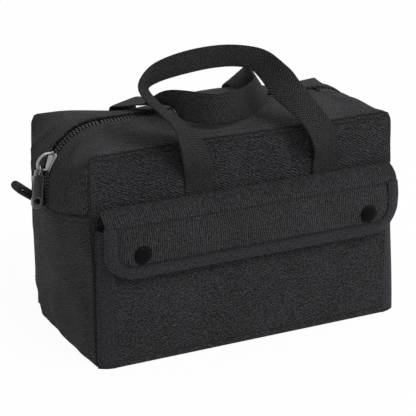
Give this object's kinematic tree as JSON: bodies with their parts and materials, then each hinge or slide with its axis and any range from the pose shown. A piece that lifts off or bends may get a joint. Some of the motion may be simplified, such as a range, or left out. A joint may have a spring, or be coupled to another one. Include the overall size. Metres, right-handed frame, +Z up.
{
  "type": "tool bag",
  "caption": "Charcoal canvas tool bag with a zipped domed top, webbing handles, a front pocket under a snapped flap and pull tabs at its ends.",
  "frame": {"origin": "middle of the base, on the ground", "axes": "+X along the bag to its right end seen from the pocket side, +Y to the back, +Z up"},
  "size_m": [0.3534, 0.1633, 0.2575],
  "materials": {
    "canvas": "matt heavy canvas",
    "lining": "bare inside of the canvas",
    "webbing": "herringbone webbing",
    "edge_tape": "twill tape",
    "zip_tape": "woven zip tape",
    "zip_teeth": "moulded teeth",
    "silver_metal": "bright cast metal",
    "black_metal": "black lacquered snap caps"
  },
  "bodies": {
    "root": {"bottom_panel": "canvas", "bottom_reinforcement": "lining", "front_panel": "canvas", "back_panel": "canvas", "left_end_panel": "canvas", "right_end_panel": "canvas", "left_gusset_front": "canvas", "left_gusset_back": "canvas", "right_gusset_front": "canvas", "right_gusset_back": "canvas", "left_zip_tapes": "zip_tape", "right_zip_tapes": "zip_tape", "left_zip_teeth": "zip_teeth", "right_zip_teeth": "zip_teeth", "front_pocket": "canvas", "pocket_side_tapes": "edge_tape", "snap_studs": "silver_metal", "flap_seam": "canvas", "front_handle_ends": "webbing", "back_handle_ends": "webbing", "inner_pockets_front": "lining", "inner_pockets_back": "lining", "inner_dividers_front": "lining", "inner_dividers_back": "lining", "left_pull_tab": "webbing", "right_pull_tab": "webbing"},
    "top_front": {"top_band_front": "canvas", "top_tape_front": "zip_tape", "top_teeth_front": "zip_teeth"},
    "top_back": {"top_band_back": "canvas", "top_tape_back": "zip_tape", "top_teeth_back": "zip_teeth"},
    "slider": {"zip_slider": "silver_metal"},
    "puller": {"puller_ring": "silver_metal", "zip_puller": "silver_metal"},
    "flap": {"flap": "canvas", "flap_binding": "edge_tape", "snap_caps": "black_metal", "snap_sockets": "silver_metal"},
    "front_handle": {"front_handle": "webbing"},
    "back_handle": {"back_handle": "webbing"}
  },
  "joints": [
    {"name": "top_front_open", "type": "hinge", "parent": "root", "child": "top_front", "pos_m": [0, -0.0613, 0.1765], "axis": [-1, 0, 0], "range_deg": [0, 75]},
    {"name": "top_back_open", "type": "hinge", "parent": "root", "child": "top_back", "pos_m": [0, 0.0613, 0.1765], "axis": [1, 0, 0], "range_deg": [0, 75]},
    {"name": "flap_lift", "type": "hinge", "parent": "root", "child": "flap", "pos_m": [0, -0.0713, 0.135], "axis": [-1, 0, 0], "range_deg": [0, 70]},
    {"name": "front_handle_tilt", "type": "hinge", "parent": "root", "child": "front_handle", "pos_m": [0, -0.06768, 0.141], "axis": [1, 0, 0], "range_deg": [0, 25]},
    {"name": "back_handle_swing", "type": "hinge", "parent": "root", "child": "back_handle", "pos_m": [0, 0.06768, 0.141], "axis": [-1, 0, 0], "range_deg": [0, 105]},
    {"name": "slider_run", "type": "hinge", "parent": "root", "child": "slider", "pos_m": [-0.1025, 0, 0.136], "axis": [0, 1, 0], "range_deg": [-6, 53]},
    {"name": "puller_swing", "type": "hinge", "parent": "slider", "child": "puller", "pos_m": [-0.1575, 0, 0.15558], "axis": [0, 1, 0], "range_deg": [0, 100]}
  ]
}
